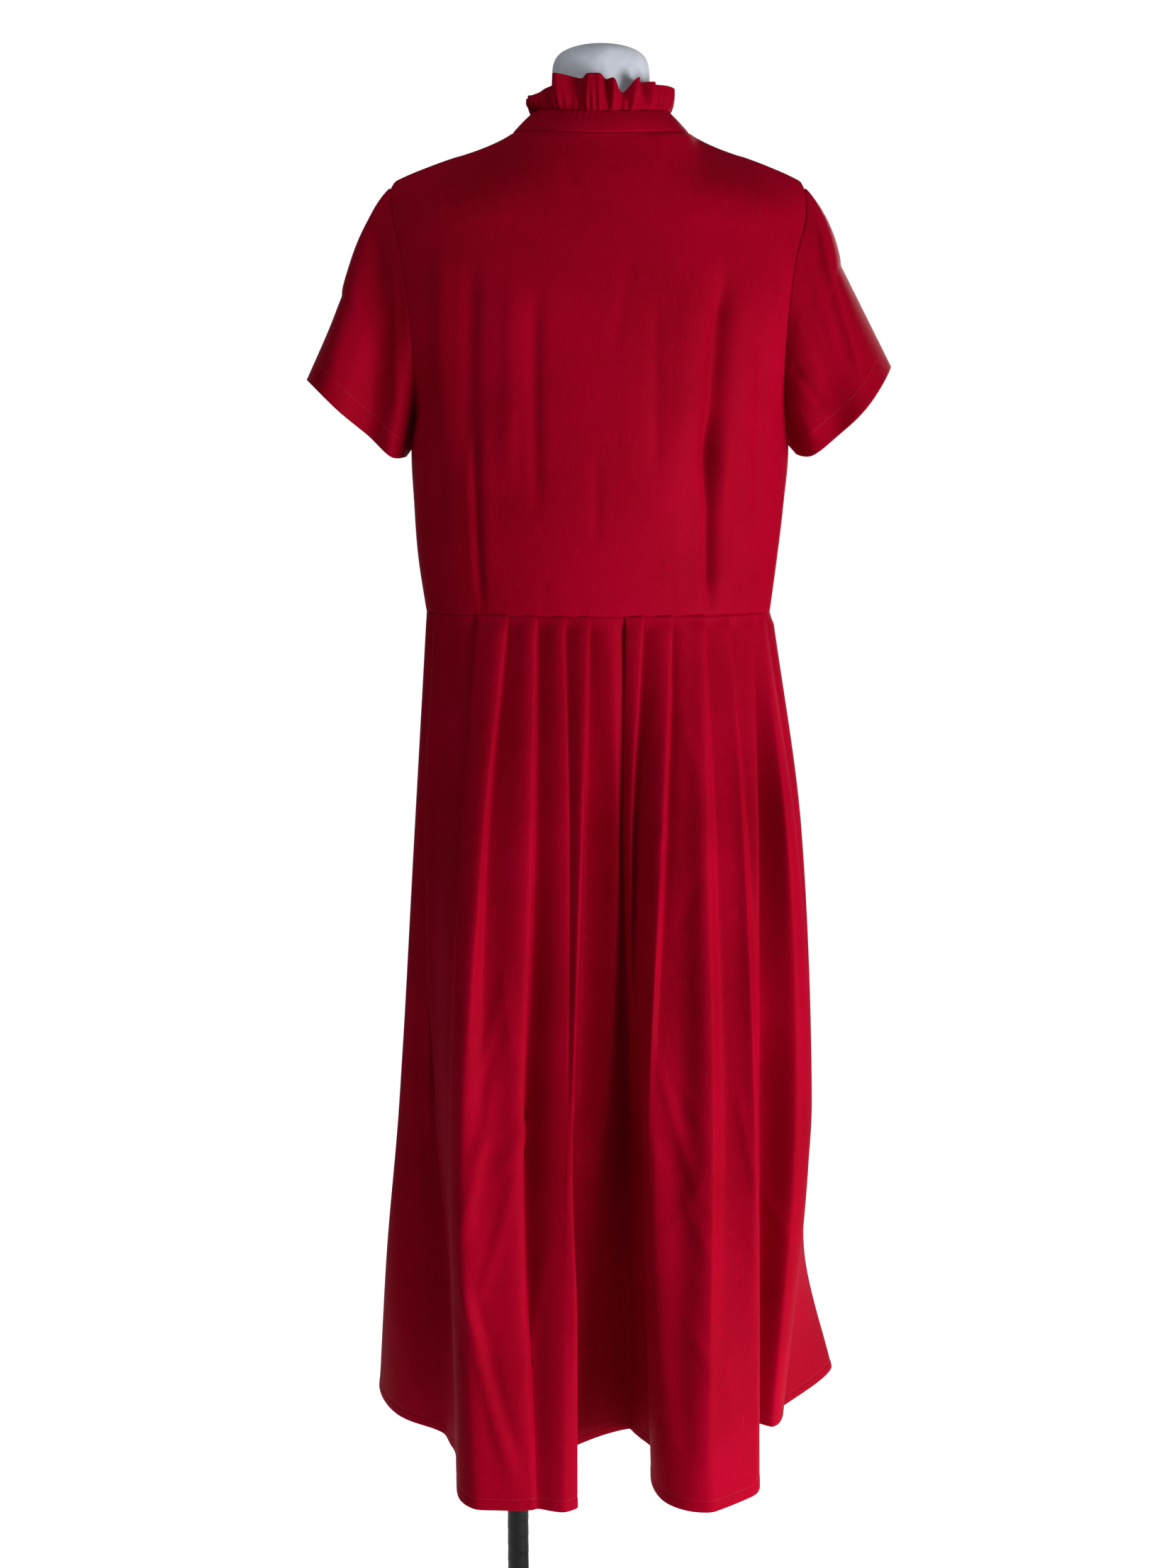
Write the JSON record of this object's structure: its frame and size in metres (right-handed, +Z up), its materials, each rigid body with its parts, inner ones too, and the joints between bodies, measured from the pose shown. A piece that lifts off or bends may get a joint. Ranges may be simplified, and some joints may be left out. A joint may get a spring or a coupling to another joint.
{
  "type": "empire waist dress on a limbless dress form",
  "caption": "Short-sleeved midi dress with a ruffled stand collar, plain back bodice and pleated skirt, hanging on a limbless dress form with a pole and a round foot plate.",
  "frame": {"origin": "the middle of the round foot plate's underside, on the floor", "axes": "+Z up, the wearer's front faces -Y, the wearer's left is +X"},
  "size_m": [0.5551, 0.4114, 1.628],
  "materials": {
    "dress_crepe": "matte red crepe with fine upright slubs and a low sheen",
    "button": "small red buttons, satin",
    "form_jersey": "pale grey jersey cover, matte",
    "pole_tape": "black tape wound round the pole, low gloss",
    "plate_metal": "black powder coat"
  },
  "bodies": {
    "root": {"bodice_back": "dress_crepe", "bodice_front_left": "dress_crepe", "bodice_front_right": "dress_crepe", "front_placket": "dress_crepe", "sleeve_left": "dress_crepe", "sleeve_right": "dress_crepe", "collar_stand": "dress_crepe", "collar_ruffle": "dress_crepe", "skirt_back": "dress_crepe", "skirt_front": "dress_crepe", "button_1": "button", "button_2": "button", "button_3": "button", "button_4": "button", "button_5": "button", "button_6": "button", "form_torso": "form_jersey", "pole": "pole_tape", "foot_plate": "plate_metal"}
  },
  "joints": []
}
